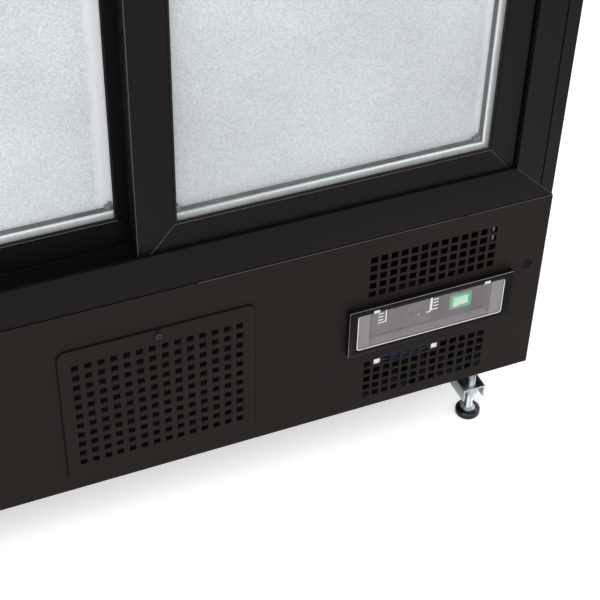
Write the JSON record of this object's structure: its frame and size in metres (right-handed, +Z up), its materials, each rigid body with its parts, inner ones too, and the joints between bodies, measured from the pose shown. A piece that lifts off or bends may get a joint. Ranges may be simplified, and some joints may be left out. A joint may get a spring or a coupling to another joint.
{
  "type": "under counter fridge",
  "caption": "Low glass-fronted refrigerated cabinet with sliding framed doors, a grilled machine bay below with a flapped controller, and levelling feet.",
  "frame": {"origin": "on the floor, under the middle of the bounding box", "axes": "+Z up, +Y from the front to the back, +X to the right when facing the doors"},
  "size_m": [0.9, 0.5286, 0.9],
  "materials": {
    "black_paint": "satin black powder coat",
    "black_aluminium": "satin black coated extrusion",
    "frosted_glass": "frosted by condensation",
    "clear_plastic": "clear smoked plastic",
    "green_plastic": "lit green",
    "white_plastic": "smooth white",
    "foam": "rigid foam",
    "zinc": "bright zinc plate",
    "shelf_wire": "plated wire",
    "aluminium": "mill",
    "galvanised": "galvanised",
    "rubber": "matte",
    "black_plastic": "glossy black"
  },
  "bodies": {
    "cabinet": {"access_cover": "black_paint", "access_screw": "black_paint", "back_panel": "black_paint", "bay_ceiling": "galvanised", "chassis_tray": "galvanised", "compressor": "black_paint", "condenser": "aluminium", "controller_bezel": "black_plastic", "cord_gland": "rubber", "drain_tray": "black_plastic", "evaporator": "aluminium", "evaporator_cover": "white_plastic", "fan_shroud": "galvanised", "foam_body": "foam", "front_panel": "black_paint", "hole_plug": "black_plastic", "inner_liner": "white_plastic", "interior_lamp": "white_plastic", "rocker_housing": "black_plastic", "runner_left": "zinc", "runner_right": "zinc", "shelf_lower": "shelf_wire", "shelf_upper": "shelf_wire", "side_panel_left": "black_paint", "side_panel_right": "black_paint", "surround_bottom": "black_aluminium", "surround_left": "black_aluminium", "surround_right": "black_aluminium", "surround_top": "black_aluminium", "thermostat": "black_plastic", "top_panel": "black_paint"},
    "right_door": {"right_door_frame_bottom": "black_aluminium", "right_door_frame_left": "black_aluminium", "right_door_frame_right": "black_aluminium", "right_door_frame_top": "black_aluminium", "right_door_glass_spacer": "aluminium", "right_door_inner_pane": "frosted_glass", "right_door_outer_pane": "frosted_glass"},
    "left_door": {"door_brush": "rubber", "left_door_frame_bottom": "black_aluminium", "left_door_frame_left": "black_aluminium", "left_door_frame_right": "black_aluminium", "left_door_frame_top": "black_aluminium", "left_door_glass_spacer": "aluminium", "left_door_inner_pane": "frosted_glass", "left_door_outer_pane": "frosted_glass"},
    "controller_flap": {"controller_flap": "clear_plastic"},
    "rocker": {"rocker": "green_plastic"},
    "button_set": {"thermostat_button_set": "black_plastic"},
    "button_up": {"thermostat_button_up": "black_plastic"},
    "condenser_fan": {"condenser_fan": "black_plastic"},
    "evaporator_fan": {"evaporator_fan": "black_plastic"},
    "foot_front_left": {"foot_pad_front_left": "black_plastic", "foot_stud_front_left": "zinc"},
    "foot_front_right": {"foot_pad_front_right": "black_plastic", "foot_stud_front_right": "zinc"},
    "foot_rear_left": {"foot_pad_rear_left": "black_plastic", "foot_stud_rear_left": "zinc"},
    "foot_rear_right": {"foot_pad_rear_right": "black_plastic", "foot_stud_rear_right": "zinc"}
  },
  "joints": [
    {"name": "right_door_slide", "type": "slide", "parent": "cabinet", "child": "right_door", "axis": [-1, 0, 0], "range_m": [0, 0.384]},
    {"name": "left_door_slide", "type": "slide", "parent": "cabinet", "child": "left_door", "axis": [1, 0, 0], "range_m": [0, 0.384]},
    {"name": "controller_flap_hinge", "type": "hinge", "parent": "cabinet", "child": "controller_flap", "pos_m": [0.3112, -0.26315, 0.23605], "axis": [-1, 0, 0], "range_deg": [0, 100]},
    {"name": "rocker_tip", "type": "hinge", "parent": "cabinet", "child": "rocker", "pos_m": [0.3522, -0.25255, 0.2095], "axis": [0, 0, -1], "range_deg": [0, 14]},
    {"name": "button_set_press", "type": "slide", "parent": "cabinet", "child": "button_set", "axis": [0, 1, 0], "range_m": [0, 0.001], "stiffness_N_per_m": 300},
    {"name": "button_up_press", "type": "slide", "parent": "cabinet", "child": "button_up", "axis": [0, 1, 0], "range_m": [0, 0.001], "stiffness_N_per_m": 300},
    {"name": "condenser_fan_spin", "type": "hinge", "parent": "cabinet", "child": "condenser_fan", "pos_m": [0, -0.15825, 0.1448], "axis": [0, 1, 0], "continuous": true},
    {"name": "evaporator_fan_spin", "type": "hinge", "parent": "cabinet", "child": "evaporator_fan", "pos_m": [0.215, 0.11085, 0.7937], "axis": [0, 1, 0], "continuous": true},
    {"name": "foot_front_left_level", "type": "slide", "parent": "cabinet", "child": "foot_front_left", "axis": [0, 0, 1], "range_m": [0, 0.014]},
    {"name": "foot_front_right_level", "type": "slide", "parent": "cabinet", "child": "foot_front_right", "axis": [0, 0, 1], "range_m": [0, 0.014]},
    {"name": "foot_rear_left_level", "type": "slide", "parent": "cabinet", "child": "foot_rear_left", "axis": [0, 0, 1], "range_m": [0, 0.014]},
    {"name": "foot_rear_right_level", "type": "slide", "parent": "cabinet", "child": "foot_rear_right", "axis": [0, 0, 1], "range_m": [0, 0.014]}
  ]
}
